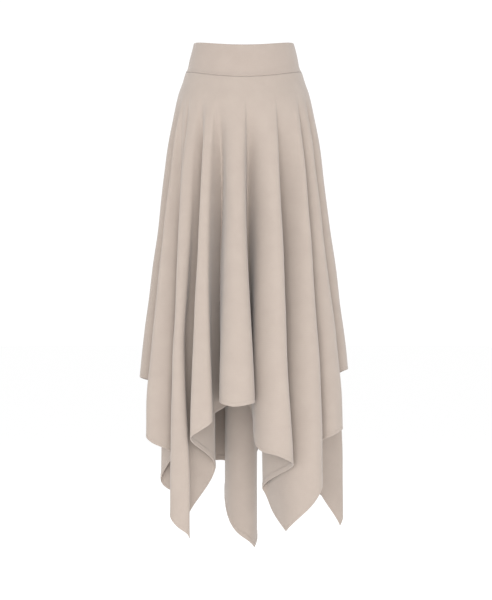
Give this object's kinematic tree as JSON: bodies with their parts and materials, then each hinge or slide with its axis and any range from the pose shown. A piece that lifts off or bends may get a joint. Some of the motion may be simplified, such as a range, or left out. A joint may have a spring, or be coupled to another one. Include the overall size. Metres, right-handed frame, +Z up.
{
  "type": "skirt",
  "caption": "Long full skirt with a plain contoured waistband, deep soft hanging folds and a pointed handkerchief hem.",
  "frame": {"origin": "middle of the waist opening, 40 mm below the waistband's top edge at the sides", "axes": "+Z up, the front of the skirt faces -Y, +X to the right seen from the front"},
  "size_m": [0.4491, 0.4255, 1.0979],
  "materials": {
    "waistband_cloth": "matte",
    "skirt_cloth": "matte"
  },
  "bodies": {
    "root": {"waistband_front": "waistband_cloth", "waistband_back": "waistband_cloth", "skirt_front": "skirt_cloth", "skirt_back": "skirt_cloth"}
  },
  "joints": []
}
